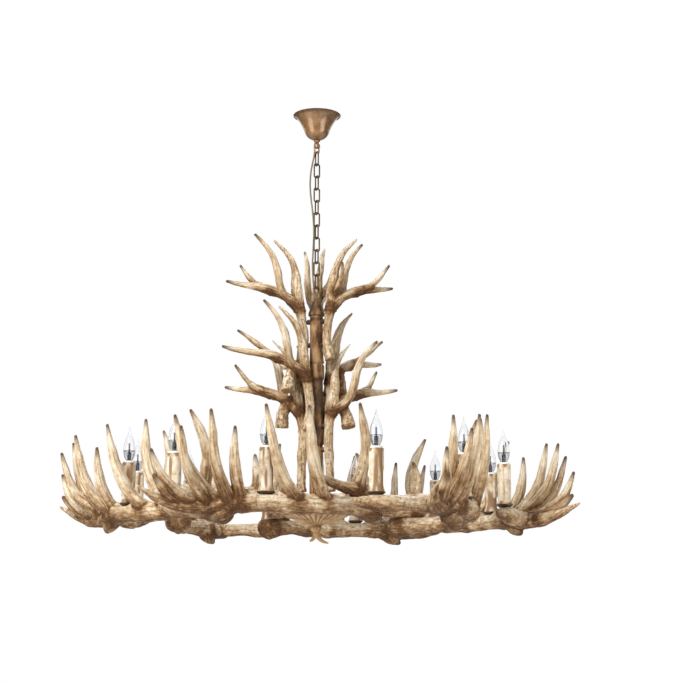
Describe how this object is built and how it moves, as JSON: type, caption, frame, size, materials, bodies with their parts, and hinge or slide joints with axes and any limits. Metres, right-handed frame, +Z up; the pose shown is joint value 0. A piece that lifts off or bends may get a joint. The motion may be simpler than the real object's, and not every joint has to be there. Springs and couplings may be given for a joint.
{
  "type": "antler chandelier",
  "caption": "Chandelier of moulded antlers: a wide ring of antlers carries candle lamps under a column crowned with smaller antlers, hung from a bell canopy by chain and cable",
  "frame": {"origin": "centre of the canopy rim in the ceiling plane, at the middle of the bracket's screw holes", "axes": "+Z up into the ceiling, +X to the right and +Y away as seen from the front; the lamp hangs towards -Z"},
  "size_m": [1.5048, 1.3896, 1.2841],
  "materials": {
    "antler_resin": "satin cast resin, pale with brown grooves",
    "bronze_paint": "satin bronze brown",
    "dark_bronze": "dark bronze",
    "cable_jacket": "matt",
    "bark_brown_paint": "matt, blotched like bark",
    "wax_plastic": "wax-like with brown drips",
    "holder_ceramic": "glazed white",
    "clear_glass": "clear",
    "terminal_plastic": "matt",
    "bare_steel": "zinc plated"
  },
  "bodies": {
    "ceiling": {"ceiling_bracket": "bare_steel", "threaded_nipple": "bare_steel", "bracket_nut": "bare_steel", "terminal_block": "terminal_plastic", "canopy": "bronze_paint", "canopy_loop": "bronze_paint"},
    "top_link": {"chain_link_top": "dark_bronze"},
    "chain": {"chain_links": "dark_bronze", "power_cable": "cable_jacket"},
    "bottom_link": {"chain_link_bottom": "dark_bronze"},
    "fixture": {"bulb_caps": "bare_steel", "bulb_glass": "clear_glass", "bulb_mounts": "bare_steel", "candle_sleeves": "wax_plastic", "candle_stems": "bare_steel", "column_cap": "bark_brown_paint", "column_collar_1": "bark_brown_paint", "column_collar_2": "bark_brown_paint", "column_eye": "bark_brown_paint", "column_tube_1": "bark_brown_paint", "column_tube_2": "bark_brown_paint", "column_tube_3": "bark_brown_paint", "crown_antler_1_back": "antler_resin", "crown_antler_1_left": "antler_resin", "crown_antler_1_right": "antler_resin", "crown_antler_2_back": "antler_resin", "crown_antler_2_left": "antler_resin", "crown_antler_2_right": "antler_resin", "crown_antler_3_back": "antler_resin", "crown_antler_3_left": "antler_resin", "crown_antler_3_right": "antler_resin", "crown_standoffs": "bare_steel", "drip_dishes": "dark_bronze", "finial": "antler_resin", "hub_corona": "antler_resin", "hub_plate": "bark_brown_paint", "hub_screws": "bare_steel", "lamp_holders": "holder_ceramic", "ring_antler_1": "antler_resin", "ring_antler_2": "antler_resin", "ring_antler_3": "antler_resin", "ring_antler_4": "antler_resin", "ring_antler_5": "antler_resin", "ring_antler_6": "antler_resin", "ring_pins": "bare_steel", "spoke_antler_1": "antler_resin", "spoke_antler_2": "antler_resin", "spoke_antler_3": "antler_resin", "spoke_antler_4": "antler_resin", "spoke_antler_5": "antler_resin", "spoke_antler_6": "antler_resin", "tie_rod": "bare_steel"}
  },
  "joints": [
    {"name": "top_link_swing", "type": "hinge", "parent": "ceiling", "child": "top_link", "pos_m": [0, 0, -0.11925], "axis": [0.8829, 0.4695, 0], "range_deg": [-15, 15], "deforming": ["power_cable"]},
    {"name": "chain_swing", "type": "hinge", "parent": "top_link", "child": "chain", "pos_m": [0, 0, -0.15695], "axis": [-0.4695, 0.8829, 0], "range_deg": [-15, 15], "deforming": ["power_cable"]},
    {"name": "bottom_link_swing", "type": "hinge", "parent": "chain", "child": "bottom_link", "pos_m": [0, 0, -0.49625], "axis": [0.8829, 0.4695, 0], "range_deg": [-6, 6], "deforming": ["power_cable"]},
    {"name": "fixture_tilt", "type": "hinge", "parent": "bottom_link", "child": "fixture", "pos_m": [0, 0, -0.53395], "axis": [-0.4695, 0.8829, 0], "range_deg": [-6, 6], "deforming": ["power_cable"]}
  ]
}
